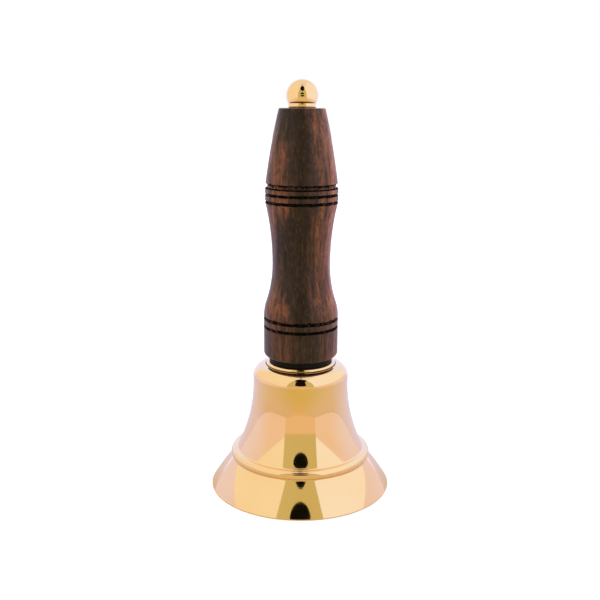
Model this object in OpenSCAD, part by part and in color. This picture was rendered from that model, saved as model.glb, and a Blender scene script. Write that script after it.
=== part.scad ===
// Hand bell: a brass cup on a turned wooden handle, with a swivelling clapper.
// Frame: the lip stands on z = 0, the axis of turning is Z, and the clapper swings along X.

/* [Bell cup] */
// Outside diameter of the lip
lip_d = 100; // [98.5:0.5:103]
// Wall thickness of the cup
wall_t = 2.7; // [2.3:0.1:3.1]
// Radius of the rounded ridge above the skirt
ridge_bead_r = 2.8; // [2.6:0.1:3]
// Diameter of the crown boss under the handle
boss_d = 38.2; // [37:0.2:39]
// Thickness of the washer between cup and handle
handle_washer_t = 3.2; // [2:0.2:4]

/* [Handle] */
// Length of the wooden handle
handle_len = 133.1; // [131:0.5:136]
// Diameter of the handle's lower grip
grip_d = 40.7; // [39.6:0.1:41.6]
// Diameter of the handle's waist
waist_d = 31.25; // [29.8:0.05:33]
// Diameter of the band between the upper grooves
band_d = 39; // [38.6:0.1:39.6]
// Depth of the thin burnt grooves
groove_depth = 0.55; // [0.3:0.05:0.8]

/* [Finial] */
// Diameter of the finial ball
finial_d = 16.8; // [16:0.1:18]
// Height of the collar under the ball
collar_h = 2.75; // [2:0.25:4]

/* [Rod and clapper] */
// Diameter of the tie rod
rod_d = 6; // [5:0.5:6]
// Diameter of the clapper ball
clapper_d = 18; // [15:0.5:18.5]
// Distance from the clapper's pivot to the middle of its ball
clapper_len = 38.5; // [36:0.5:38.5]
// Diameter of the clapper's stem
stem_d = 5; // [4:0.5:5.5]
// Diameter of the clapper's pivot pin
pin_d = 4; // [3.5:0.5:4]

/* [Hidden] */

brass_colour = "gold";
wood_colour = "saddlebrown";
steel_colour = "silver";
fibre_colour = "black";

lathe_fn = 96;
arc_fn = 360;
small_fn = 48;

// Clearances, and how far a cut runs past what it cuts
thread_gap = 0.02;
run_gap = 0.06;
bore_gap = 0.4;
overcut = 1;

// Height above a circle's middle at which it is half_w wide, or the other way round
function chord_h(r, half_w) = sqrt(r * r - half_w * half_w);

// Middle of the arc of radius r from p up to q that bulges away from the axis
function arc_centre(p, q, r) =
    let (d = q - p, h = chord_h(r, norm(d) / 2))
    (p + q) / 2 + [-d[1], d[0]] / norm(d) * h;

// Where a circle of radius ra about a crosses one of radius rb about b, on the upper side
function crossing(a, ra, b, rb) =
    let (d = norm(b - a), u = (b - a) / d, t = (ra * ra - rb * rb + d * d) / (2 * d))
    a + u * t - [-u[1], u[0]] * chord_h(ra, t);

// The point on a circle of radius r about a that faces b
function facing(a, r, b) = a + (b - a) / norm(b - a) * r;

// Bell cup: heights above the lip, and the arcs of its outside
lip_r = lip_d / 2;
lip_edge_h = 0.6;
lip_bevel = 0.3;
skirt_top_r = 38.95;
skirt_top_z = 16.3;
skirt_arc_r = 180;
ridge = [skirt_top_r - ridge_bead_r, 19];
wall_r = 26.33;
wall_z = 60;
flare_arc_r = 85;
flare = [wall_r + flare_arc_r, wall_z];
cove_r = 0.9;
cove = crossing(flare, flare_arc_r - cove_r, ridge, ridge_bead_r + cove_r);
cove_top = facing(flare, flare_arc_r, cove);
cove_foot = facing(ridge, ridge_bead_r, cove);
skirt_arc = arc_centre([lip_r, lip_edge_h], [skirt_top_r, skirt_top_z], skirt_arc_r);
foot_r = 0.5;
foot = crossing(skirt_arc, skirt_arc_r + foot_r, ridge, ridge_bead_r + foot_r);
foot_high = facing(ridge, ridge_bead_r, foot);
foot_low = facing(skirt_arc, skirt_arc_r, foot);
dome_arc_r = 7.1;
dome_z = 63.2;
crown_z = dome_z + dome_arc_r;
boss_h = 1.8;
boss_top_z = crown_z + boss_h;
boss_round = 1.6;

// Handle: heights above its own base
handle_z = boss_top_z + handle_washer_t;
handle_bore_d = rod_d + 2 * bore_gap;
base_round = 2.1;
top_round = 0.7;
low_grooves = [16.9, 21.4];
grip_arc_r = 25;
low_waist_arc_r = 66.6;
high_waist_arc_r = 147;
waist_z = 51.2;
band_z = 84.4;
band_grooves = [84.9, 88.8];
notch_z = 93.2;
notch_half = 1.35;
notch_floor_half = 0.75;
notch_depth = 1.2;
taper_arc_r = 370;
taper_arc_x = -347.8;
taper_arc_z = 47.8;
thin_groove_r = 0.6;
core_r = 8;
washer_d = 34.6;

// Finial
handle_top_z = handle_z + handle_len;
collar_low_r = 6.9;
collar_high_r = 7.35;
collar_bevel = 0.3;
finial_r = finial_d / 2;
finial_lift = 3.55;
finial_foot_z = handle_top_z + collar_h;
ball_z = finial_foot_z + finial_lift;
tapped_depth = 7.6;
rod_top_gap = 0.4;

// The shoulder's middle, outside and inside, and the ceiling inside
dome_x = flare[0] - chord_h(flare_arc_r, dome_z - wall_z) - dome_arc_r;
hollow_arc_r = 2.9;
hollow_x = flare[0] - chord_h(flare_arc_r + wall_t, dome_z - wall_z) - hollow_arc_r;
ceiling_z = dome_z + hollow_arc_r;

// Hardware inside the cup, from the ceiling down
crown_washer_d = 18;
crown_washer_t = 1.6;
spring_band = 2.5;
spring_d = rod_d + 2 * spring_band;
spring_t = 1.5;
spring_slot = 0.8;
nut_wall = 2;
nut_af = rod_d + 2 * nut_wall;
nut_h = 5;
rod_below_nut = 0.25;
spring_top_z = ceiling_z - crown_washer_t;
nut_top_z = spring_top_z - spring_t;
nut_low_z = nut_top_z - nut_h;
shoulder_z = nut_low_z - rod_below_nut;
spigot_d = 4;
spigot_groove_d = 3.2;
rod_bevel = 0.4;

// Yoke, pin and clips
bridge_t = 2.2;
cheek_gap = 9;
cheek_t = 2;
yoke_w = cheek_gap + 2 * cheek_t;
yoke_depth = 8;
yoke_top_z = shoulder_z - run_gap;
bridge_low_z = yoke_top_z - bridge_t;
bend_r = 1.6;
swivel_washer_d = 8;
swivel_washer_t = 0.8;
washer_top_z = bridge_low_z - run_gap;
clip_t = 0.7;
clip_top_z = washer_top_z - swivel_washer_t - run_gap;
clip_d = 7;
clip_slot = 2.6;
clip_low_z = clip_top_z - clip_t;
spigot_tail = 0.6;
spigot_low_z = clip_low_z - spigot_tail;
barrel_wall = 2;
barrel_d = pin_d + 2 * barrel_wall;
barrel_gap = 0.4;
pivot_z = spigot_low_z - barrel_gap - barrel_d / 2;
pin_head_rim = 1.2;
pin_head_d = pin_d + 2 * pin_head_rim;
pin_head_t = 1.2;
pin_groove_depth = 0.4;
pin_groove_d = pin_d - 2 * pin_groove_depth;
pin_clip_band = 1.5;
pin_clip_d = pin_d + 2 * pin_clip_band;
pin_tail = 0.6;

// Clapper
barrel_len = cheek_gap - barrel_gap;
clapper_r = clapper_d / 2;
clapper_z = pivot_z - clapper_len;
seat_rim = 1.5;
seat_d = stem_d + 2 * seat_rim;
seat_h = 1.6;

module disc(c, r, fn = arc_fn) {
    translate(c) circle(r = r, $fn = fn);
}

// Rectangle from the axis out to radius r, between two heights
module slab(r, z0, z1) {
    translate([0, z0]) square([r, z1 - z0]);
}

module turned() {
    rotate_extrude($fn = lathe_fn) children();
}

module tube(outer_d, inner_d, z0, z1, fn = small_fn) {
    translate([0, 0, z0]) difference() {
        cylinder(d = outer_d, h = z1 - z0, $fn = fn);
        translate([0, 0, -overcut]) cylinder(d = inner_d, h = z1 - z0 + 2 * overcut, $fn = fn);
    }
}

// Ring of thickness t standing on z = 0, with a gap towards +X
module open_ring(outer_d, inner_d, t, gap) {
    difference() {
        tube(outer_d, inner_d, 0, t);
        translate([0, -gap / 2, -overcut]) cube([outer_d, gap, t + 2 * overcut]);
    }
}

// Rod along Y through the clapper's pivot
module cross_rod(d, len) {
    translate([0, 0, pivot_z]) rotate([90, 0, 0]) cylinder(d = d, h = len, center = true, $fn = small_fn);
}

// ---- Finial ----

module finial_ball() {
    color(brass_colour)
    turned()
    difference() {
        intersection() {
            disc([0, ball_z], finial_r, lathe_fn);
            slab(finial_d, finial_foot_z, ball_z + finial_d);
        }
        slab(rod_d / 2 + thread_gap, finial_foot_z - overcut, finial_foot_z + tapped_depth);
    }
}

module finial_collar() {
    bore_r = rod_d / 2 + bore_gap / 2;
    color(brass_colour)
    turned()
    translate([0, handle_top_z])
    polygon([
        [bore_r, 0],
        [collar_low_r, 0],
        [collar_high_r, collar_h - collar_bevel],
        [collar_high_r - collar_bevel, collar_h],
        [bore_r, collar_h]
    ]);
}

// ---- Handle ----

// Slab with rounded lower and upper outer corners
module rounded_slab(r, z0, z1, low_round, high_round) {
    low = z0 + low_round;
    high = z1 - high_round;
    slab(r, low, high);
    if (low_round > 0) {
        slab(r - low_round, z0, low);
        disc([r - low_round, low], low_round, lathe_fn);
    }
    if (high_round > 0) {
        slab(r - high_round, high, z1);
        disc([r - high_round, high], high_round, lathe_fn);
    }
}

module grip_outline() {
    grip_r = grip_d / 2;
    arc_x = grip_r - grip_arc_r;
    low_x = waist_d / 2 + low_waist_arc_r;
    both_r = grip_arc_r + low_waist_arc_r;
    arc_z = waist_z - chord_h(both_r, low_x - arc_x);
    join_z = arc_z + (waist_z - arc_z) * grip_arc_r / both_r;
    rounded_slab(grip_r, 0, arc_z, base_round, 0);
    intersection() {
        disc([arc_x, arc_z], grip_arc_r);
        slab(grip_d, arc_z, join_z);
    }
    difference() {
        slab(grip_r, join_z, waist_z);
        disc([low_x, waist_z], low_waist_arc_r);
    }
}

module waist_outline() {
    difference() {
        slab(band_d / 2, waist_z, band_z);
        disc([waist_d / 2 + high_waist_arc_r, waist_z], high_waist_arc_r);
    }
}

module taper_outline() {
    round_z = handle_len - top_round;
    top_r = taper_arc_x + chord_h(taper_arc_r, round_z - taper_arc_z);
    intersection() {
        disc([taper_arc_x, taper_arc_z], taper_arc_r, 4 * arc_fn);
        slab(band_d / 2, notch_z, round_z);
    }
    slab(top_r - top_round, round_z, handle_len);
    disc([top_r - top_round, round_z], top_round, lathe_fn);
}

module notch_outline() {
    band_r = band_d / 2;
    flank = (notch_half - notch_floor_half) / notch_depth;
    translate([band_r, notch_z]) polygon([
        [overcut, -notch_half - flank * overcut],
        [-notch_depth, -notch_floor_half],
        [-notch_depth, notch_floor_half],
        [overcut, notch_half + flank * overcut]
    ]);
}

module thin_grooves(heights, r) {
    for (z = heights) disc([r + thin_groove_r - groove_depth, z], thin_groove_r, small_fn);
}

module handle() {
    color(wood_colour)
    translate([0, 0, handle_z])
    turned()
    difference() {
        union() {
            slab(core_r, 0, handle_len);
            grip_outline();
            waist_outline();
            slab(band_d / 2, band_z, notch_z);
            taper_outline();
        }
        slab(handle_bore_d / 2, -overcut, handle_len + overcut);
        notch_outline();
        thin_grooves(low_grooves, grip_d / 2);
        thin_grooves(band_grooves, band_d / 2);
    }
}

module handle_washer() {
    color(fibre_colour) tube(washer_d, handle_bore_d, boss_top_z, handle_z, lathe_fn);
}

// ---- Bell cup ----

module skirt_outline() {
    intersection() {
        disc(skirt_arc, skirt_arc_r, 2 * arc_fn);
        polygon([[0, 0], [lip_r - lip_bevel, 0], [lip_r, lip_bevel], [lip_r, ridge[1]], [0, ridge[1]]]);
    }
}

// The ridge's bead, and the small cove between it and the skirt
module ridge_outline() {
    disc(ridge, ridge_bead_r, lathe_fn);
    difference() {
        slab(foot_low[0], foot_low[1], foot_high[1]);
        disc(foot, foot_r, lathe_fn);
    }
}

// The flared wall, with the cove that runs down into the ridge
module wall_outline() {
    difference() {
        slab(cove_foot[0], skirt_top_z - overcut, dome_z);
        intersection() {
            disc(flare, flare_arc_r);
            slab(lip_r, cove_top[1], dome_z + overcut);
        }
        disc(cove, cove_r, lathe_fn);
    }
}

module crown_outline() {
    boss_r = boss_d / 2;
    slab(dome_x, dome_z, crown_z);
    intersection() {
        disc([dome_x, dome_z], dome_arc_r, lathe_fn);
        slab(wall_r * 2, dome_z, crown_z);
    }
    rounded_slab(boss_r, crown_z, boss_top_z, 0, boss_round);
}

module cup_hollow() {
    difference() {
        slab(lip_r, -overcut, dome_z);
        disc(flare, flare_arc_r + wall_t);
    }
    intersection() {
        disc([hollow_x, dome_z], hollow_arc_r, lathe_fn);
        slab(wall_r, dome_z, crown_z);
    }
    slab(hollow_x, dome_z, ceiling_z);
    slab(handle_bore_d / 2, dome_z, boss_top_z + overcut);
}

module bell_cup() {
    color(brass_colour)
    turned()
    difference() {
        union() {
            skirt_outline();
            ridge_outline();
            wall_outline();
            crown_outline();
        }
        cup_hollow();
    }
}

// ---- Rod and the hardware inside the cup ----

module tie_rod() {
    rod_r = rod_d / 2;
    spigot_r = spigot_d / 2;
    groove_r = spigot_groove_d / 2;
    top = finial_foot_z + tapped_depth - rod_top_gap;
    color(steel_colour)
    turned()
    polygon([
        [0, spigot_low_z],
        [spigot_r - rod_bevel / 2, spigot_low_z],
        [spigot_r, spigot_low_z + rod_bevel / 2],
        [spigot_r, clip_low_z],
        [groove_r, clip_low_z],
        [groove_r, clip_top_z],
        [spigot_r, clip_top_z],
        [spigot_r, shoulder_z],
        [rod_r, shoulder_z],
        [rod_r, top - rod_bevel],
        [rod_r - rod_bevel, top],
        [0, top]
    ]);
}

module crown_washer() {
    color(steel_colour) tube(crown_washer_d, rod_d + bore_gap, spring_top_z, ceiling_z);
}

module spring_washer() {
    color(steel_colour)
    translate([0, 0, nut_top_z])
    open_ring(spring_d, rod_d + bore_gap, spring_t, spring_slot);
}

module crown_nut() {
    flat_r = nut_af / 2;
    corner_r = flat_r / cos(30);
    bevel_h = (corner_r - flat_r) * tan(30);
    color(steel_colour)
    translate([0, 0, nut_low_z])
    difference() {
        intersection() {
            cylinder(r = corner_r, h = nut_h, $fn = 6);
            turned() polygon([
                [0, 0],
                [flat_r, 0],
                [corner_r, bevel_h],
                [corner_r, nut_h - bevel_h],
                [flat_r, nut_h],
                [0, nut_h]
            ]);
        }
        translate([0, 0, -overcut])
        cylinder(r = rod_d / 2 + thread_gap, h = nut_h + 2 * overcut, $fn = small_fn);
    }
}

// ---- Yoke, its washer and clip, and the clapper's pin ----

// Bridge and both cheeks seen along X, drawn as Y across and Z up
module yoke_front() {
    half_w = yoke_w / 2;
    low_z = pivot_z - yoke_depth / 2;
    difference() {
        union() {
            translate([-half_w, low_z]) square([yoke_w, yoke_top_z - bend_r - low_z]);
            translate([bend_r - half_w, low_z]) square([yoke_w - 2 * bend_r, yoke_top_z - low_z]);
            for (side = [-1, 1]) disc([side * (half_w - bend_r), yoke_top_z - bend_r], bend_r, small_fn);
        }
        translate([-cheek_gap / 2, low_z - overcut])
        square([cheek_gap, bridge_low_z - low_z + overcut]);
    }
}

// A cheek seen along Y, drawn as X across and Z up
module yoke_side() {
    translate([-yoke_depth / 2, pivot_z]) square([yoke_depth, yoke_top_z - pivot_z]);
    disc([0, pivot_z], yoke_depth / 2, small_fn);
}

module clapper_yoke() {
    color(steel_colour)
    difference() {
        intersection() {
            rotate([90, 0, 90]) linear_extrude(height = yoke_depth, center = true) yoke_front();
            rotate([90, 0, 0]) linear_extrude(height = yoke_w, center = true) yoke_side();
        }
        translate([0, 0, bridge_low_z - overcut])
        cylinder(r = spigot_d / 2 + run_gap, h = bridge_t + 2 * overcut, $fn = small_fn);
        cross_rod(pin_d + 2 * thread_gap, yoke_w + 2 * overcut);
    }
}

module swivel_washer() {
    color(steel_colour)
    tube(swivel_washer_d, spigot_d + 2 * run_gap, washer_top_z - swivel_washer_t, washer_top_z);
}

module swivel_clip() {
    color(steel_colour)
    translate([0, 0, clip_low_z])
    open_ring(clip_d, spigot_groove_d + 2 * thread_gap, clip_t, clip_slot);
}

// Places something that stands on the outer face of the cheek at +Y, with its Z axis outwards
module on_cheek() {
    translate([0, yoke_w / 2, pivot_z]) rotate([-90, 0, 0]) children();
}

module clapper_pin() {
    pin_r = pin_d / 2;
    groove_r = pin_groove_d / 2;
    color(steel_colour)
    on_cheek()
    turned()
    polygon([
        [0, -yoke_w - pin_head_t],
        [pin_head_d / 2, -yoke_w - pin_head_t],
        [pin_head_d / 2, -yoke_w],
        [pin_r, -yoke_w],
        [pin_r, 0],
        [groove_r, 0],
        [groove_r, clip_t],
        [pin_r, clip_t],
        [pin_r, clip_t + pin_tail],
        [0, clip_t + pin_tail]
    ]);
}

module pin_clip() {
    color(steel_colour)
    on_cheek()
    rotate([0, 0, -90])
    open_ring(pin_clip_d, pin_groove_d + 2 * thread_gap, clip_t, clip_slot);
}

// ---- Clapper ----

module clapper_stem() {
    seat_z = clapper_z + chord_h(clapper_r, seat_d / 2);
    end_z = clapper_z - chord_h(clapper_r, stem_d / 2);
    color(steel_colour)
    difference() {
        union() {
            cross_rod(barrel_d, barrel_len);
            translate([0, 0, end_z]) cylinder(d = stem_d, h = pivot_z - end_z, $fn = small_fn);
            translate([0, 0, seat_z]) cylinder(d = seat_d, h = seat_h, $fn = small_fn);
        }
        cross_rod(pin_d + 2 * run_gap, yoke_w);
    }
}

module clapper_ball() {
    color(brass_colour)
    turned()
    difference() {
        intersection() {
            disc([0, clapper_z], clapper_r, lathe_fn);
            slab(clapper_d, clapper_z - clapper_d, clapper_z + chord_h(clapper_r, seat_d / 2));
        }
        slab(stem_d / 2 + thread_gap, clapper_z - clapper_d, clapper_z + clapper_d);
    }
}

finial_ball();
finial_collar();
handle();
handle_washer();
bell_cup();
tie_rod();
crown_washer();
spring_washer();
crown_nut();
clapper_yoke();
swivel_washer();
swivel_clip();
clapper_pin();
pin_clip();
clapper_stem();
clapper_ball();
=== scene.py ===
"""Looks for the hand bell: polished brass cup, turned rosewood handle, brass finial, clapper work inside.
Shapes are outlines in millimetres turned about Z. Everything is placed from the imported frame, in metres."""

import math

import bmesh
import bpy
from mathutils import Matrix, Vector, noise


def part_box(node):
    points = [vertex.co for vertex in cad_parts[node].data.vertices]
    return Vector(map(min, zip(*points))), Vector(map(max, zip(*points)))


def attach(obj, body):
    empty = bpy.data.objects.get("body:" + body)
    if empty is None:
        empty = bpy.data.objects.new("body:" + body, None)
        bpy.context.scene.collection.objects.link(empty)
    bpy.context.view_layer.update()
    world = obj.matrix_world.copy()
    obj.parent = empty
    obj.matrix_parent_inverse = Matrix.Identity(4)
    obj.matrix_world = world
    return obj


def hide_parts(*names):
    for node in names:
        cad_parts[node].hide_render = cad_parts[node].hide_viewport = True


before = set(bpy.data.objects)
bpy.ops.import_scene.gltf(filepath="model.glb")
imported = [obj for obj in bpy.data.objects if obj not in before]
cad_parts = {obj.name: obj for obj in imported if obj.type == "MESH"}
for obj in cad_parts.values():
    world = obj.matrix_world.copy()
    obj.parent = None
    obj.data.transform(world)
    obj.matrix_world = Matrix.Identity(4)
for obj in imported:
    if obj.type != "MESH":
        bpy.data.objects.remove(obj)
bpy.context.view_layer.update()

MM = 0.001
SHARP = math.radians(28)  # edges that turn further than this stay crisp
SAME_POINT = 1e-4  # outline points closer than this, in mm, are one point
ON_AXIS = 1e-6


# ---------------------------------------------------------------- frame sizes


def node_z(node):
    """Lowest and highest Z of a CAD node, in millimetres."""
    low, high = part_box(node)
    return low.z / MM, high.z / MM


def node_r(node):
    """Largest radius of a turned CAD node, in millimetres."""
    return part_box(node)[1].x / MM


CROWN_TOP = node_z("bell_cup")[1]
HANDLE_Z, HANDLE_TOP = node_z("handle")
COLLAR_Z, COLLAR_TOP = node_z("finial_collar")
BALL_TOP = node_z("finial_ball")[1]
CLAPPER_LOW, CLAPPER_HIGH = node_z("clapper_ball")


# ---------------------------------------------------------------- outlines


def arc(centre, radius, start, end, count):
    """Points on a circle from one angle to another, in degrees, both ends included."""
    step = (end - start) / (count - 1)
    angles = [math.radians(start + step * i) for i in range(count)]
    return [(centre[0] + radius * math.cos(a), centre[1] + radius * math.sin(a)) for a in angles]


def angle_at(centre, point):
    """Angle of a point about a centre, from 0 to 360 degrees."""
    return math.degrees(math.atan2(point[1] - centre[1], point[0] - centre[0])) % 360


def crossing(a, ra, b, rb, side=1):
    """Where a circle of radius ra about a crosses one of radius rb about b."""
    a, b = Vector(a), Vector(b)
    d = (b - a).length
    u = (b - a) / d
    t = (ra * ra - rb * rb + d * d) / (2 * d)
    return a + u * t - side * Vector((-u.y, u.x)) * math.sqrt(ra * ra - t * t)


def toward(a, radius, b):
    """The point of a circle about a that faces b."""
    a, b = Vector(a), Vector(b)
    return a + (b - a).normalized() * radius


def line(p, q, count):
    """Evenly spaced points from p to q, both ends included."""
    steps = [i / (count - 1) for i in range(count)]
    return [(p[0] + (q[0] - p[0]) * t, p[1] + (q[1] - p[1]) * t) for t in steps]


def tidy(points):
    """Drops points that repeat the one before."""
    out = []
    for p in points:
        if not out or math.dist(p, out[-1]) > SAME_POINT:
            out.append((p[0], p[1]))
    return out


# ---------------------------------------------------------------- meshes

CUP_SIDES = 288
HANDLE_SIDES = 224
FITTING_SIDES = 160
CLAPPER_SIDES = 128


def finish_mesh(name, bm, body, node):
    """Turns a bmesh into an object that rides on a body and stands for a CAD node."""
    bmesh.ops.recalc_face_normals(bm, faces=bm.faces)
    for edge in bm.edges:
        edge.smooth = len(edge.link_faces) == 2 and edge.calc_face_angle(0) < SHARP
    for face in bm.faces:
        face.smooth = True
    mesh = bpy.data.meshes.new(name)
    bm.to_mesh(mesh)
    bm.free()
    obj = bpy.data.objects.new(name, mesh)
    bpy.context.scene.collection.objects.link(obj)
    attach(obj, body)
    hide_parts(node)
    return obj


def lathe(outline, segments, shape=None, marks=None, closed=True):
    """A solid of revolution about Z from an outline in millimetres.
    shape(r, z, turn) moves each point, and marks gives each outline point a value for the shader."""
    bm = bmesh.new()
    layer = bm.verts.layers.float.new("mark") if marks else None
    rings = []
    for i, (r, z) in enumerate(outline):
        if r < ON_AXIS:
            ring = [bm.verts.new((0, 0, z * MM))] * segments
        else:
            ring = []
            for k in range(segments):
                turn = 2 * math.pi * k / segments
                rr, zz = shape(r, z, turn) if shape else (r, z)
                ring.append(bm.verts.new((rr * math.cos(turn) * MM, rr * math.sin(turn) * MM, zz * MM)))
        if marks:
            for v in ring:
                v[layer] = marks[i]
        rings.append(ring)
    pairs = list(zip(rings, rings[1:]))
    if closed:
        pairs.append((rings[-1], rings[0]))
    for low, high in pairs:
        for k in range(segments):
            j = (k + 1) % segments
            corners = []
            for v in (low[k], low[j], high[j], high[k]):
                if v not in corners:
                    corners.append(v)
            if len(corners) > 2:
                bm.faces.new(corners)
    return bm


# ---------------------------------------------------------------- materials


class Nodes:
    """A short way to write a node tree."""

    def __init__(self, name):
        self.material = bpy.data.materials.new(name)
        self.material.use_nodes = True
        self.tree = self.material.node_tree
        self.tree.nodes.clear()
        self.coords = self.add("ShaderNodeTexCoord").outputs["Object"]

    def add(self, kind, inputs=None, **settings):
        node = self.tree.nodes.new(kind)
        for key, value in settings.items():
            setattr(node, key, value)
        for key, value in (inputs or {}).items():
            self.put(node.inputs[key], value)
        return node

    def put(self, socket, value):
        if isinstance(value, bpy.types.NodeSocket):
            self.tree.links.new(value, socket)
        else:
            socket.default_value = value

    def stretch(self, scale, source=None):
        """Object coordinates, scaled along each axis."""
        inputs = {"Vector": source or self.coords, "Scale": scale}
        return self.add("ShaderNodeMapping", inputs).outputs["Vector"]

    def noise(self, scale, detail=3.0, vector=None, roughness=0.5, distortion=0.0):
        inputs = {
            "Vector": vector or self.coords,
            "Scale": scale,
            "Detail": detail,
            "Roughness": roughness,
            "Distortion": distortion,
        }
        return self.add("ShaderNodeTexNoise", inputs).outputs["Fac"]

    def math(self, operation, *values, clamp=False):
        node = self.add("ShaderNodeMath", operation=operation, use_clamp=clamp)
        for socket, value in zip(node.inputs, values):
            self.put(socket, value)
        return node.outputs[0]

    def rerange(self, value, low, high, to_low=0.0, to_high=1.0):
        inputs = {"Value": value, "From Min": low, "From Max": high, "To Min": to_low, "To Max": to_high}
        return self.add("ShaderNodeMapRange", inputs).outputs["Result"]

    def ramp(self, value, stops):
        node = self.add("ShaderNodeValToRGB", {"Fac": value})
        points = node.color_ramp.elements
        while len(points) < len(stops):
            points.new(0.5)
        for point, (at, colour) in zip(points, stops):
            point.position = at
            point.color = (*colour, 1)
        return node.outputs["Color"]

    def mix(self, factor, a, b, blend="MIX"):
        node = self.add("ShaderNodeMix", data_type="RGBA", blend_type=blend)
        self.put(node.inputs[0], factor)
        for socket, value in ((node.inputs[6], a), (node.inputs[7], b)):
            self.put(socket, value if isinstance(value, bpy.types.NodeSocket) else (*value, 1))
        return node.outputs[2]

    def bump(self, height, distance, strength=1.0, normal=None):
        inputs = {"Height": height, "Distance": distance, "Strength": strength}
        if normal:
            inputs["Normal"] = normal
        return self.add("ShaderNodeBump", inputs).outputs["Normal"]

    def axis(self, name, source=None):
        return self.add("ShaderNodeSeparateXYZ", {"Vector": source or self.coords}).outputs[name]

    def surface(self, **inputs):
        """Ends the tree with a Principled shader. Names use _ for a space."""
        shader = self.add("ShaderNodeBsdfPrincipled", {k.replace("_", " "): v for k, v in inputs.items()})
        out = self.add("ShaderNodeOutputMaterial")
        self.tree.links.new(shader.outputs[0], out.inputs["Surface"])
        return self.material


BRASS = (0.95, 0.65, 0.345)
BRASS_WARM = (0.94, 0.62, 0.31)


def polished_brass():
    n = Nodes("polished_brass")
    patches = n.noise(38, 3)
    colour = n.mix(n.rerange(patches, 0.35, 0.7), BRASS, BRASS_WARM)
    haze = n.noise(160, 4, roughness=0.6)
    rings = n.noise(1, 2, n.stretch((30, 30, 2600)))
    rough = n.math("ADD", n.rerange(haze, 0.35, 0.75, 0.035, 0.075), n.rerange(rings, 0.55, 0.75, 0.0, 0.03))
    sway = n.bump(n.noise(26, 1.5), 0.00011)
    normal = n.bump(rings, 0.0000012, 1.0, sway)
    # Painted shade: the mark attribute darkens the corner under the boss to near black and makes it rougher
    # there.
    painted_shade = n.add("ShaderNodeAttribute", attribute_name="mark").outputs["Fac"]
    painted_shade = n.rerange(n.math("ADD", painted_shade, n.rerange(haze, 0.3, 0.7, -0.1, 0.1)), 0.1, 0.6)
    colour = n.mix(painted_shade, colour, (0.03, 0.02, 0.012))
    rough = n.math("ADD", rough, n.math("MULTIPLY", painted_shade, 0.4))
    return n.surface(Base_Color=colour, Metallic=1.0, Roughness=rough, Normal=normal)


def turned_brass():
    """The cup's inside: left as it came off the lathe, a little dull."""
    n = Nodes("turned_brass")
    stain = n.noise(55, 5, roughness=0.6)
    colour = n.mix(n.rerange(stain, 0.35, 0.7), (0.72, 0.49, 0.22), (0.5, 0.31, 0.13))
    rings = n.noise(1, 2, n.stretch((40, 40, 1500)))
    rough = n.math("ADD", n.rerange(stain, 0.3, 0.7, 0.26, 0.4), n.rerange(rings, 0.3, 0.7, 0.0, 0.08))
    return n.surface(Base_Color=colour, Metallic=1.0, Roughness=rough, Normal=n.bump(rings, 0.00004))


def striker_brass():
    """The clapper ball: satin, with small bright knocks."""
    n = Nodes("striker_brass")
    knocks = n.noise(420, 3)
    colour = n.mix(n.rerange(n.noise(90, 4), 0.35, 0.7), (0.88, 0.58, 0.26), (0.66, 0.41, 0.17))
    rough = n.rerange(n.noise(200, 4), 0.3, 0.7, 0.14, 0.3)
    return n.surface(Base_Color=colour, Metallic=1.0, Roughness=rough, Normal=n.bump(knocks, 0.00005))


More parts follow.
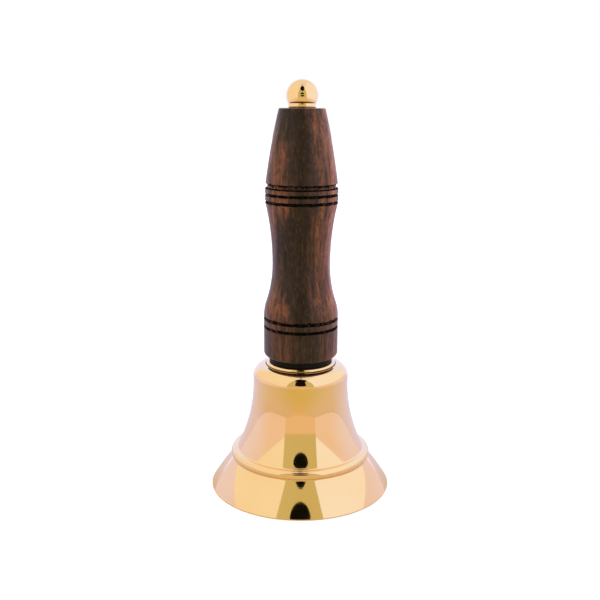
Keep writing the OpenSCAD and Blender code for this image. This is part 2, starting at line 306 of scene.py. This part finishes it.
def rosewood():
    n = Nodes("rosewood")
    fibre = n.stretch((1, 1, 0.055))
    slow = n.noise(34, 3, n.stretch((1, 1, 0.45)))
    drift = n.rerange(slow, 0.2, 0.8, -0.007, 0.007)
    wander = n.rerange(n.noise(170, 4, fibre, 0.6), 0.25, 0.75, -0.0035, 0.0035)
    across = n.math("ADD", n.math("ADD", n.axis("X"), drift), wander)
    across = n.math("ADD", across, n.math("MULTIPLY", n.axis("Y"), 0.35))
    share = n.rerange(across, -0.024, 0.024)
    # Colour across the handle along X: partly the wood's own dark and orange bands, partly painted side light
    # and sheen that make its left and right edges, as seen from the front, brighter.
    bands_and_edge_light = n.ramp(
        share,
        [
            (0.00, (0.110, 0.048, 0.032)),
            (0.10, (0.420, 0.135, 0.062)),
            (0.17, (0.230, 0.084, 0.044)),
            (0.21, (0.070, 0.032, 0.021)),
            (0.24, (0.030, 0.017, 0.011)),
            (0.34, (0.034, 0.018, 0.012)),
            (0.44, (0.022, 0.013, 0.009)),
            (0.50, (0.130, 0.052, 0.030)),
            (0.57, (0.380, 0.134, 0.050)),
            (0.64, (0.190, 0.070, 0.038)),
            (0.80, (0.640, 0.205, 0.090)),
        ],
    )
    plain = n.noise(22, 2, n.stretch((1, 1, 0.9)))
    bands_and_edge_light = n.mix(n.rerange(plain, 0.4, 0.62, 0.0, 0.4), bands_and_edge_light, (0.075, 0.036, 0.024))
    foot = n.rerange(n.math("ADD", n.axis("Z"), n.math("MULTIPLY", drift, 0.6)), 0.104, 0.090, 0.0, 0.62)
    bands_and_edge_light = n.mix(foot, bands_and_edge_light, (0.050, 0.030, 0.021))
    streaks = n.noise(520, 5, fibre, 0.65)
    colour = n.mix(n.rerange(streaks, 0.42, 0.66, 0.0, 0.75), bands_and_edge_light, (0.020, 0.011, 0.007))
    light = n.noise(300, 4, n.stretch((1, 1, 0.04)), 0.6, 0.4)
    colour = n.mix(n.rerange(light, 0.56, 0.74, 0.0, 0.4), colour, (0.20, 0.080, 0.040))
    mottle = n.noise(760, 3, n.stretch((1, 1, 0.42)), 0.6)
    colour = n.mix(n.rerange(mottle, 0.5, 0.66, 0.0, 0.55), colour, (0.016, 0.011, 0.009))
    colour = n.mix(n.rerange(mottle, 0.46, 0.30, 0.0, 0.4), colour, (0.120, 0.066, 0.046))
    pores = n.noise(2600, 2, n.stretch((1, 1, 0.045)))
    pore = n.rerange(pores, 0.6, 0.68)
    colour = n.mix(n.math("MULTIPLY", pore, 0.75), colour, (0.008, 0.005, 0.004))
    # The mark: burnt grooves, and on the notch's upper side also painted shadow; it darkens the wood,
    # roughens it and takes the polish off.
    burn_and_shade = n.add("ShaderNodeAttribute", attribute_name="mark").outputs["Fac"]
    ragged = n.rerange(n.noise(700, 4, roughness=0.65), 0.3, 0.7, -0.45, 0.45)
    burnt_and_shaded = n.rerange(n.math("ADD", burn_and_shade, ragged), 0.4, 0.7)
    colour = n.mix(burnt_and_shaded, colour, (0.004, 0.003, 0.002))
    rough = n.math("ADD", n.rerange(streaks, 0.3, 0.7, 0.38, 0.52), n.math("MULTIPLY", burnt_and_shaded, 0.3))
    grain = n.math("SUBTRACT", n.math("MULTIPLY", streaks, 0.35), n.math("MULTIPLY", pore, 0.8))
    polish = n.math("SUBTRACT", 1.0, n.math("MULTIPLY", burnt_and_shaded, 0.9))
    return n.surface(
        Base_Color=colour,
        Roughness=rough,
        Normal=n.bump(grain, 0.00006),
        Specular_IOR_Level=n.math("MULTIPLY", polish, 0.12),
        Coat_Weight=n.math("MULTIPLY", polish, 0.16),
        Coat_Roughness=0.2,
        Coat_IOR=1.5,
        Sheen_Weight=n.math("MULTIPLY", polish, 0.2),
        Sheen_Roughness=0.3,
        Sheen_Tint=(1.0, 0.72, 0.74, 1),
    )


def black_fibre():
    n = Nodes("black_fibre")
    flecks = n.noise(900, 4, roughness=0.65)
    colour = n.mix(n.rerange(flecks, 0.4, 0.7), (0.004, 0.0035, 0.003), (0.010, 0.008, 0.007))
    layers = n.noise(1, 2, n.stretch((60, 60, 3000)))
    rough = n.rerange(flecks, 0.3, 0.7, 0.42, 0.6)
    normal = n.bump(layers, 0.00005)
    return n.surface(Base_Color=colour, Roughness=rough, Normal=normal, Specular_IOR_Level=0.12)


def zinc_steel():
    n = Nodes("zinc_steel")
    spangle = n.noise(300, 4, roughness=0.6)
    colour = n.mix(n.rerange(spangle, 0.35, 0.7), (0.62, 0.62, 0.60), (0.42, 0.42, 0.41))
    stain = n.rerange(n.noise(120, 5), 0.58, 0.78, 0.0, 0.5)
    colour = n.mix(stain, colour, (0.30, 0.26, 0.20))
    rough = n.rerange(spangle, 0.3, 0.7, 0.22, 0.42)
    return n.surface(Base_Color=colour, Metallic=1.0, Roughness=rough, Normal=n.bump(spangle, 0.00002))


# ---------------------------------------------------------------- bell cup

SKIRT_FOOT = (node_r("bell_cup"), 0.6)
SKIRT_TOP = (38.95, 16.3)
SKIRT_R = 180.0
RIDGE = (36.15, 19.0)
RIDGE_R = 2.8
FLARE = (111.33, 60.0)
FLARE_R = 85.0
WALL_T = 2.7
COVE_R = 0.9
DOME_Z = 63.2
DOME_R = 7.1
HOLLOW_DOME_R = 2.9
BOSS_R = 19.1
BOSS_ROUND = 1.6
BORE_R = 3.4
FOOT_COVE_R = 0.5
LIP_ROUND = 0.3
LIP_EDGE = 0.9
# how far the painted shade in the corner under the boss reaches, in mm
PAINTED_SHADE_REACH = 0.6


def skirt_centre():
    """Centre of the skirt's arc, which runs from SKIRT_TOP down to SKIRT_FOOT."""
    p, q = Vector(SKIRT_FOOT), Vector(SKIRT_TOP)
    d = q - p
    half = d.length / 2
    return (p + q) / 2 + Vector((-d.y, d.x)) / d.length * math.sqrt(SKIRT_R**2 - half**2)


def cup_outline():
    """The outside, from the crown bore down to the lip, then the inside back up."""
    wall_x = FLARE[0] - math.sqrt(FLARE_R**2 - (DOME_Z - FLARE[1]) ** 2)
    hollow_x = FLARE[0] - math.sqrt((FLARE_R + WALL_T) ** 2 - (DOME_Z - FLARE[1]) ** 2)
    dome = (wall_x - DOME_R, DOME_Z)
    hollow = (hollow_x - HOLLOW_DOME_R, DOME_Z)
    ceiling = DOME_Z + HOLLOW_DOME_R
    crown_z = DOME_Z + DOME_R
    boss = (BOSS_R - BOSS_ROUND, CROWN_TOP - BOSS_ROUND)
    cove = crossing(FLARE, FLARE_R - COVE_R, RIDGE, RIDGE_R + COVE_R)
    skirt = skirt_centre()
    foot_cove = crossing(RIDGE, RIDGE_R + FOOT_COVE_R, skirt, SKIRT_R + FOOT_COVE_R, -1)
    foot_top = toward(RIDGE, RIDGE_R, foot_cove)
    foot_low = toward(skirt, SKIRT_R, foot_cove)
    outer = line((BORE_R, CROWN_TOP), (boss[0], CROWN_TOP), 6)
    outer += arc(boss, BOSS_ROUND, 90, 0, 22)
    outer += [(BOSS_R, crown_z)]
    outer += arc(dome, DOME_R, 90, 0, 44)
    outer += arc(FLARE, FLARE_R, angle_at(FLARE, (wall_x, DOME_Z)), angle_at(FLARE, cove), 120)
    outer += arc(cove, COVE_R, angle_at(cove, toward(FLARE, FLARE_R, cove)), angle_at(cove, RIDGE), 14)
    outer += arc(RIDGE, RIDGE_R, angle_at(RIDGE, cove), angle_at(RIDGE, foot_cove) - 360, 44)
    outer += arc(foot_cove, FOOT_COVE_R, angle_at(foot_cove, foot_top), angle_at(foot_cove, foot_low), 10)
    outer += arc(skirt, SKIRT_R, angle_at(skirt, foot_low), angle_at(skirt, SKIRT_FOOT), 48)
    lip_r = SKIRT_FOOT[0]
    near_edge = 0.3 * LIP_ROUND
    outer += [(lip_r, LIP_ROUND), (lip_r - near_edge, near_edge), (lip_r - LIP_ROUND, 0.0)]
    lip_in = FLARE[0] - math.sqrt((FLARE_R + WALL_T) ** 2 - FLARE[1] ** 2)
    inner = line((lip_r - LIP_EDGE, 0.0), (lip_in, 0.0), 4)
    inner += arc(
        FLARE,
        FLARE_R + WALL_T,
        angle_at(FLARE, (lip_in, 0.0)),
        angle_at(FLARE, (hollow_x, DOME_Z)),
        110,
    )
    inner += arc(hollow, HOLLOW_DOME_R, 0, 90, 16)
    inner += line((hollow[0], ceiling), (BORE_R, ceiling), 8)
    outer = tidy(outer)
    return outer, tidy(outer + inner)


def corner_painted_shade(outline):
    """How much shade is painted at each point: most in the corner under the boss."""
    corner = (BOSS_R, DOME_Z + DOME_R)
    return [max(0.0, 1.0 - math.dist(p, corner) / PAINTED_SHADE_REACH) for p in outline]


def make_cup():
    """The cup: polished outside, as turned inside."""
    outer, outline = cup_outline()
    # the marks carry the painted shade in the corner under the boss
    bm = lathe(outline, CUP_SIDES, marks=corner_painted_shade(outline))
    inside = [0 if i < len(outer) else 1 for i in range(len(outline))]
    bm.faces.ensure_lookup_table()
    for i, face in enumerate(bm.faces):
        face.material_index = inside[min(i // CUP_SIDES, len(inside) - 1)]
    cup = finish_mesh("bell_cup_turned", bm, "bell", "bell_cup")
    cup.data.materials.append(BRASS_MAT)
    cup.data.materials.append(INNER_MAT)


# ---------------------------------------------------------------- handle

GRIP_R = 20.35
GRIP_ARC_R = 25.0
WAIST_R = 15.625
WAIST_Z = 51.2
LOW_WAIST_R = 66.6
HIGH_WAIST_R = 147.0
BAND_R = 19.5
NOTCH_Z = 93.2
NOTCH_HALF = 1.35
NOTCH_FLOOR = 0.75
NOTCH_DEPTH = 1.2
TAPER = (-347.8, 47.8)
TAPER_R = 370.0
BASE_ROUND = 2.1
TOP_ROUND = 0.7
THIN_R = 0.6
THIN_DEPTH = 0.55
LOW_GROOVES = (16.9, 21.4)
HIGH_GROOVES = (84.9, 88.8)
GROOVE_LIP = 0.12
LOW_GAP = 1.2  # from a groove's middle to the plain wood beside it
HIGH_GAP = 1.0
THIN_BURN = 0.8
NOTCH_FLOOR_BURN = 0.45
# partly burn, partly painted shadow under the notch's overhang
NOTCH_TOP_BURN_AND_SHADE = 0.75
GRIP_FROM = 2.2  # where the grip's and the band's arcs start and stop, in degrees
BAND_AT = 167.3
SANDED_OFF = 0.03
SWELL = 0.05
RIPPLE = 0.016


def thin_groove(r, z):
    """A shallow round groove, with its edges slightly rolled."""
    centre = (r + THIN_R - THIN_DEPTH, z)
    reach = math.degrees(math.acos((centre[0] - r) / THIN_R))
    groove = arc(centre, THIN_R, 180 + reach, 180 - reach, 15)
    return [(r, z - THIN_R - GROOVE_LIP)] + groove + [(r, z + THIN_R + GROOVE_LIP)]


def handle_outline():
    """The outside from the base up, then the bore, with how burnt each point is; on the notch's upper side
    the mark is partly burn, partly painted shadow under the overhang.
    """
    arc_x = GRIP_R - GRIP_ARC_R
    low_x = WAIST_R + LOW_WAIST_R
    both = GRIP_ARC_R + LOW_WAIST_R
    arc_z = WAIST_Z - math.sqrt(both**2 - (low_x - arc_x) ** 2)
    join = math.degrees(math.asin((WAIST_Z - arc_z) / both))
    length = HANDLE_TOP - HANDLE_Z
    notch_floor = BAND_R - NOTCH_DEPTH
    top_r = TAPER[0] + math.sqrt(TAPER_R**2 - (length - TOP_ROUND - TAPER[1]) ** 2)
    parts = [
        (0, line((BORE_R, 0), (GRIP_R - BASE_ROUND, 0), 5)),
        (0, arc((GRIP_R - BASE_ROUND, BASE_ROUND), BASE_ROUND, -90, 0, 14)),
        (0, line((GRIP_R, BASE_ROUND), (GRIP_R, LOW_GROOVES[0] - LOW_GAP), 24)),
        (THIN_BURN, thin_groove(GRIP_R, LOW_GROOVES[0])),
        (0, line((GRIP_R, LOW_GROOVES[0] + LOW_GAP), (GRIP_R, LOW_GROOVES[1] - LOW_GAP), 6)),
        (THIN_BURN, thin_groove(GRIP_R, LOW_GROOVES[1])),
        (0, arc((arc_x, arc_z), GRIP_ARC_R, GRIP_FROM, join, 18)),
        (0, arc((low_x, WAIST_Z), LOW_WAIST_R, 180 + join, 180, 40)[1:]),
        (0, arc((WAIST_R + HIGH_WAIST_R, WAIST_Z), HIGH_WAIST_R, 180, BAND_AT, 50)[1:]),
        (THIN_BURN, thin_groove(BAND_R, HIGH_GROOVES[0])),
        (0, line((BAND_R, HIGH_GROOVES[0] + HIGH_GAP), (BAND_R, HIGH_GROOVES[1] - HIGH_GAP), 5)),
        (THIN_BURN, thin_groove(BAND_R, HIGH_GROOVES[1])),
        (0, line((BAND_R, HIGH_GROOVES[1] + HIGH_GAP), (BAND_R, NOTCH_Z - NOTCH_HALF - 0.3), 5)),
        (1, [(BAND_R - 0.04, NOTCH_Z - NOTCH_HALF), (BAND_R - 0.5, NOTCH_Z - 1.1)]),
        (NOTCH_FLOOR_BURN, [(notch_floor, NOTCH_Z - NOTCH_FLOOR), (notch_floor, NOTCH_Z)]),
        # the notch's upper side: partly burn, partly painted shadow under the overhang
        (
            NOTCH_TOP_BURN_AND_SHADE,
            [
                (notch_floor, NOTCH_Z + NOTCH_FLOOR),
                (BAND_R - 0.75, NOTCH_Z + 1.0),
                (BAND_R - 0.32, NOTCH_Z + NOTCH_HALF),
            ],
        ),
        (0, taper_points(NOTCH_Z + NOTCH_HALF + 0.35, length - TOP_ROUND, 44)),
        (0, arc((top_r - TOP_ROUND, length - TOP_ROUND), TOP_ROUND, 0, 90, 7)),
        (0, line((top_r - TOP_ROUND, length), (BORE_R, length), 5)[1:]),
        (0, line((BORE_R, length), (BORE_R, 0), 24)[1:-1]),
    ]
    outline, burnt_and_shaded = [], []
    for burn_and_shade, points in parts:
        for p in points:
            if outline and math.dist(p, outline[-1]) < SAME_POINT:
                continue
            outline.append(p)
            burnt_and_shaded.append(float(burn_and_shade))
    return [(r, z + HANDLE_Z) for r, z in outline], burnt_and_shaded


def taper_points(low, high, count):
    """The taper above the notch, from one height on the handle to another."""
    heights = [low + (high - low) * i / (count - 1) for i in range(count)]
    return [(TAPER[0] + math.sqrt(TAPER_R**2 - (z - TAPER[1]) ** 2), z) for z in heights]


def hand_turned(r, z, turn):
    """The small unevenness of wood turned and sanded by hand."""
    if r < BORE_R + 0.1:
        return r, z
    at = Vector((math.cos(turn) * 1.3, math.sin(turn) * 1.3, z * 0.055))
    fine = Vector((math.cos(turn) * 9, math.sin(turn) * 9, z * 0.35))
    return r - SANDED_OFF + SWELL * noise.noise(at) + RIPPLE * noise.noise(fine), z


def make_handle():
    outline, burnt_and_shaded = handle_outline()
    bm = lathe(outline, HANDLE_SIDES, hand_turned, burnt_and_shaded)
    handle = finish_mesh("handle_turned", bm, "bell", "handle")
    handle.data.materials.append(WOOD_MAT)


# ---------------------------------------------------------------- finial, washer and clapper ball

BALL_BORE = (3.02, 7.6)  # radius and depth of the bore for the rod
COLLAR_ARC_R = 14.0
COLLAR_BEVEL = 0.3
COLLAR_BORE_R = 3.2
WASHER_ROUND = 0.25
STEM_BORE_R = 2.52


def make_finial():
    """The ball nut and the collar under it."""
    r = node_r("finial_ball")
    centre = BALL_TOP - r
    foot = COLLAR_TOP
    low = -math.degrees(math.asin((centre - foot) / r))
    pocket_r, pocket_z = BALL_BORE[0], foot + BALL_BORE[1]
    outline = [(0, BALL_TOP)] + arc((0, centre), r, 88.5, low, 72)
    outline += line((math.sqrt(r * r - (centre - foot) ** 2), foot), (pocket_r, foot), 5)[1:]
    outline += [(pocket_r, pocket_z), (0, pocket_z)]
    bm = lathe(outline, FITTING_SIDES, closed=False)
    ball = finish_mesh("finial_ball_turned", bm, "bell", "finial_ball")
    ball.data.materials.append(BRASS_MAT)
    collar_high, bevel, bore = node_r("finial_collar"), COLLAR_BEVEL, COLLAR_BORE_R
    rise = COLLAR_TOP - bevel - COLLAR_Z
    collar_low = collar_high - COLLAR_ARC_R + math.sqrt(COLLAR_ARC_R**2 - rise**2)
    outline = line((bore, COLLAR_Z), (collar_low, COLLAR_Z), 3)
    side = (collar_high - COLLAR_ARC_R, COLLAR_TOP - bevel)
    lean = math.degrees(math.asin(rise / COLLAR_ARC_R))
    outline += arc(side, COLLAR_ARC_R, -lean, 0, 14)
    outline += arc((collar_high - bevel, COLLAR_TOP - bevel), bevel, 0, 90, 6)[1:]
    outline += line((collar_high - bevel, COLLAR_TOP), (bore, COLLAR_TOP), 4)[1:]
    bm = lathe(tidy(outline), FITTING_SIDES)
    collar = finish_mesh("finial_collar_turned", bm, "bell", "finial_collar")
    collar.data.materials.append(BRASS_MAT)


def make_washer():
    """The black washer between the handle and the cup."""
    low, high = node_z("handle_washer")
    r = node_r("handle_washer")
    edge = WASHER_ROUND
    outline = [(BORE_R, low)] + line((BORE_R + 2, low), (r - edge, low), 4)
    outline += arc((r - edge, low + edge), edge, -90, 0, 6)[1:]
    outline += arc((r - edge, high - edge), edge, 0, 90, 6)
    outline += line((r - edge, high), (BORE_R, high), 4)[1:]
    bm = lathe(tidy(outline), FITTING_SIDES)
    washer = finish_mesh("handle_washer_cut", bm, "bell", "handle_washer")
    washer.data.materials.append(FIBRE_MAT)


def make_clapper_ball():
    """The clapper's ball, with a flat top and a bore for the stem."""
    r = node_r("clapper_ball")
    centre = CLAPPER_LOW + r
    bore = STEM_BORE_R
    high = math.degrees(math.asin((CLAPPER_HIGH - centre) / r))
    low = -math.degrees(math.acos(bore / r))
    outline = arc((0, centre), r, low, high, 80)
    outline += line((r * math.cos(math.radians(high)), CLAPPER_HIGH), (bore, CLAPPER_HIGH), 4)[1:]
    outline += line((bore, CLAPPER_HIGH), (bore, centre + r * math.sin(math.radians(low))), 6)[1:-1]
    bm = lathe(outline, CLAPPER_SIDES)
    ball = finish_mesh("clapper_ball_turned", bm, "clapper", "clapper_ball")
    ball.data.materials.append(STRIKER_MAT)


# ---------------------------------------------------------------- stage

FADE_Y = (-0.16, 0.06)
FRONT_Y = -480.0
BACK_Y = 340.0
FRONT_SPLIT = 86
SIDE_SPLIT = 105
SIDE_TOP = 900
FLOOR_DROP = 0.1
FLOOR_R = 4000.0
FLOOR_SIDES = 96
MOUTH_EDGE = 0.6  # how far the floor reaches in under the lip
CAMERA = Vector((-0.55, -459.5, 215.6))
CAMERA_LENS = 51.83
CAMERA_SENSOR = 36.0
CAMERA_DOWN = 13.42  # degrees
CAMERA_ROLL = 0.33


def emitter(name, corners, colour, far_colour=None, diffuse=True):
    """A flat shape that shows in reflections and lights the object, but that no camera sees.
    far_colour is its colour at the back of the stage, when it changes along Y."""
    mesh = bpy.data.meshes.new(name)
    mesh.from_pydata([Vector(c) * MM for c in corners], [], [list(range(len(corners)))])
    obj = bpy.data.objects.new(name, mesh)
    bpy.context.scene.collection.objects.link(obj)
    n = Nodes(name)
    glow = (*colour, 1)
    if far_colour:
        glow = n.mix(n.rerange(n.axis("Y"), *FADE_Y), colour, far_colour)
    light = n.add("ShaderNodeEmission", {"Color": glow, "Strength": 1.0})
    out = n.add("ShaderNodeOutputMaterial")
    n.tree.links.new(light.outputs[0], out.inputs["Surface"])
    obj.data.materials.append(n.material)
    obj.visible_camera = False
    obj.visible_shadow = False
    obj.visible_diffuse = diffuse
    return obj


def oval(centre, half_w, up, down, lean=0.0, count=40):
    """Corners of an upright oval that faces the object. Its upper and lower halves differ in height."""
    x, y, z = centre
    corners = []
    for i in range(count):
        a = 2 * math.pi * i / count
        rise = math.sin(a) * (up if math.sin(a) > 0 else down)
        corners.append((x + half_w * math.cos(a), y + lean * rise, z + rise))
    return corners


def oval_flat(x, y, z, half_w, half_d, count=32):
    """Corners of a level oval."""
    turns = [2 * math.pi * i / count for i in range(count)]
    return [(x + half_w * math.cos(a), y + half_d * math.sin(a), z) for a in turns]


def make_floor():
    """A floor that is open under the bell's mouth, and that is seen only from above."""
    count = FLOOR_SIDES
    turns = [2 * math.pi * i / count for i in range(count)]
    radii = (node_r("bell_cup") - MOUTH_EDGE, FLOOR_R)
    ring = [(r * math.cos(a), r * math.sin(a), -FLOOR_DROP) for r in radii for a in turns]
    mesh = bpy.data.meshes.new("floor")
    mesh.from_pydata(
        [Vector(p) * MM for p in ring],
        [],
        [(i, i + count, (i + 1) % count + count, (i + 1) % count) for i in range(count)],
    )
    floor = bpy.data.objects.new("floor", mesh)
    bpy.context.scene.collection.objects.link(floor)
    n = Nodes("floor_paper")
    # Painted light: for reflections and bounce light the floor's colour stands for how the paper is lit. It
    # gets a warm cast all over, a golden strip in front of the bell and a bright bluish back.
    paper_and_painted_light = n.mix(n.noise(40, 4), (0.86, 0.75, 0.60), (0.88, 0.77, 0.62))
    back = n.rerange(n.axis("Y"), -0.06, 0.10)
    paper_and_painted_light = n.mix(back, paper_and_painted_light, (0.88, 0.86, 1.16))
    near = n.rerange(n.axis("Y"), -0.05, -0.13)
    middle = n.rerange(n.math("ABSOLUTE", n.axis("X")), 0.20, 0.05)
    far = n.rerange(n.axis("Y"), -0.16, -0.42)
    front = n.mix(far, (0.83, 0.70, 0.26), (0.98, 0.77, 0.50))
    paper_and_painted_light = n.mix(n.math("MULTIPLY", near, middle), paper_and_painted_light, front)
    matte = n.add("ShaderNodeBsdfDiffuse", {"Color": paper_and_painted_light})
    pale = n.add("ShaderNodeBsdfDiffuse", {"Color": (0.9, 0.9, 0.9, 1)})
    glow = n.add("ShaderNodeEmission", {"Color": (1, 1, 1, 1), "Strength": 0.46})
    seen = n.add("ShaderNodeAddShader")
    n.tree.links.new(pale.outputs[0], seen.inputs[0])
    n.tree.links.new(glow.outputs[0], seen.inputs[1])
    path = n.add("ShaderNodeLightPath")
    both = n.add("ShaderNodeMixShader", {0: path.outputs["Is Camera Ray"]})
    n.tree.links.new(matte.outputs[0], both.inputs[1])
    n.tree.links.new(seen.outputs[0], both.inputs[2])
    under = n.add("ShaderNodeNewGeometry").outputs["Backfacing"]
    one_sided = n.add("ShaderNodeMixShader", {0: under})
    n.tree.links.new(both.outputs[0], one_sided.inputs[1])
    n.tree.links.new(n.add("ShaderNodeBsdfTransparent").outputs[0], one_sided.inputs[2])
    out = n.add("ShaderNodeOutputMaterial")
    n.tree.links.new(one_sided.outputs[0], out.inputs["Surface"])
    floor.data.materials.append(n.material)


def make_world():
    """An even pale room, plain white where the camera sees it."""
    world = bpy.data.worlds.new("studio")
    bpy.context.scene.world = world
    world.use_nodes = True
    tree = world.node_tree
    tree.nodes.clear()
    path = tree.nodes.new("ShaderNodeLightPath")
    room = tree.nodes.new("ShaderNodeBackground")
    room.inputs["Color"].default_value = (0.96, 0.97, 1.0, 1)
    room.inputs["Strength"].default_value = 0.98
    white = tree.nodes.new("ShaderNodeBackground")
    white.inputs["Color"].default_value = (1, 1, 1, 1)
    white.inputs["Strength"].default_value = 1.0
    both = tree.nodes.new("ShaderNodeMixShader")
    out = tree.nodes.new("ShaderNodeOutputWorld")
    tree.links.new(path.outputs["Is Camera Ray"], both.inputs[0])
    tree.links.new(room.outputs[0], both.inputs[1])
    tree.links.new(white.outputs[0], both.inputs[2])
    tree.links.new(both.outputs[0], out.inputs["Surface"])


def make_stage():
    """The floor, the room and the light and dark shapes that the brass reflects."""
    make_floor()
    make_world()
    glow = {-1: (1.0, 0.985, 0.88), 1: (1.02, 1.11, 1.30)}
    for side, name in ((-1, "left"), (1, "right")):
        emitter(
            f"side_light_{name}",
            [
                (side * 300, FRONT_Y, SIDE_SPLIT),
                (side * 330, BACK_Y, SIDE_SPLIT),
                (side * 260, BACK_Y, SIDE_TOP),
                (side * 220, FRONT_Y, SIDE_TOP),
            ],
            glow[side],
        )
        emitter(
            f"side_paper_{name}",
            [
                (side * 301, FRONT_Y, 0),
                (side * 331, BACK_Y, 0),
                (side * 331, BACK_Y, SIDE_SPLIT),
                (side * 301, FRONT_Y, SIDE_SPLIT),
            ],
            (0.92, 0.79, 0.76),
            (0.90, 0.88, 1.18),
        )
    emitter(
        "back_paper",
        [(-332, BACK_Y, 0), (332, BACK_Y, 0), (332, BACK_Y, 420), (-332, BACK_Y, 420)],
        (0.92, 1.06, 1.60),
        diffuse=False,
    )
    front = [(-310, FRONT_SPLIT), (310, FRONT_SPLIT)]
    front += [(304, 200), (300, 350), (278, 500), (240, 700), (190, 900)]
    front += [(-x, z) for x, z in reversed(front[2:])]
    emitter("front_opening", [(x, FRONT_Y, z) for x, z in front], (0.66, 0.62, 0.32))
    low_front = [(-318, -1), (318, -1), (310, FRONT_SPLIT), (-310, FRONT_SPLIT)]
    emitter("front_low", [(x, FRONT_Y, z) for x, z in low_front], (0.87, 0.68, 0.47))
    emitter("dark_low", oval((8, -470, 225), 112, 34, 55), (0.004, 0.004, 0.003))
    emitter("dark_middle", oval((4, -470, 325), 112, 85, 32), (0.004, 0.004, 0.003))
    emitter("dark_high", oval((8, -385, 800), 150, 265, 290, 0.33), (0.004, 0.003, 0.002))
    emitter("dark_top", oval_flat(8, -170, 1100, 48, 67), (0.03, 0.03, 0.02))
    near = [(-12, 77), (12, 77), (13, 114), (-13, 114)]
    emitter("dark_near", [(x, -66, z) for x, z in near], (0.010, 0.006, 0.004), diffuse=False)


def make_camera():
    """One camera in front of the bell, looking a little down at it."""
    data = bpy.data.cameras.new("camera")
    data.sensor_width = CAMERA_SENSOR
    data.lens = CAMERA_LENS
    data.clip_start = 0.01
    camera = bpy.data.objects.new("camera", data)
    camera.location = CAMERA * MM
    pitch = Matrix.Rotation(math.radians(90 - CAMERA_DOWN), 4, "X")
    roll = Matrix.Rotation(math.radians(CAMERA_ROLL), 4, "Z")
    camera.rotation_euler = (pitch @ roll).to_euler()
    bpy.context.scene.collection.objects.link(camera)
    bpy.context.scene.camera = camera


# ---------------------------------------------------------------- build

BRASS_MAT = polished_brass()
INNER_MAT = turned_brass()
STRIKER_MAT = striker_brass()
WOOD_MAT = rosewood()
FIBRE_MAT = black_fibre()
STEEL_MAT = zinc_steel()

make_camera()
make_stage()
make_cup()
make_handle()
make_finial()
make_washer()
make_clapper_ball()

STEEL_NODES = (
    "tie_rod",
    "crown_washer",
    "spring_washer",
    "crown_nut",
    "clapper_yoke",
    "swivel_washer",
    "swivel_clip",
    "clapper_pin",
    "pin_clip",
    "clapper_stem",
)
for name in STEEL_NODES:
    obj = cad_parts[name]
    for slot_index in range(len(obj.material_slots)):
        obj.material_slots[slot_index].material = STEEL_MAT

bpy.context.scene.view_settings.view_transform = "Standard"
bpy.context.scene.cycles.use_denoising = True
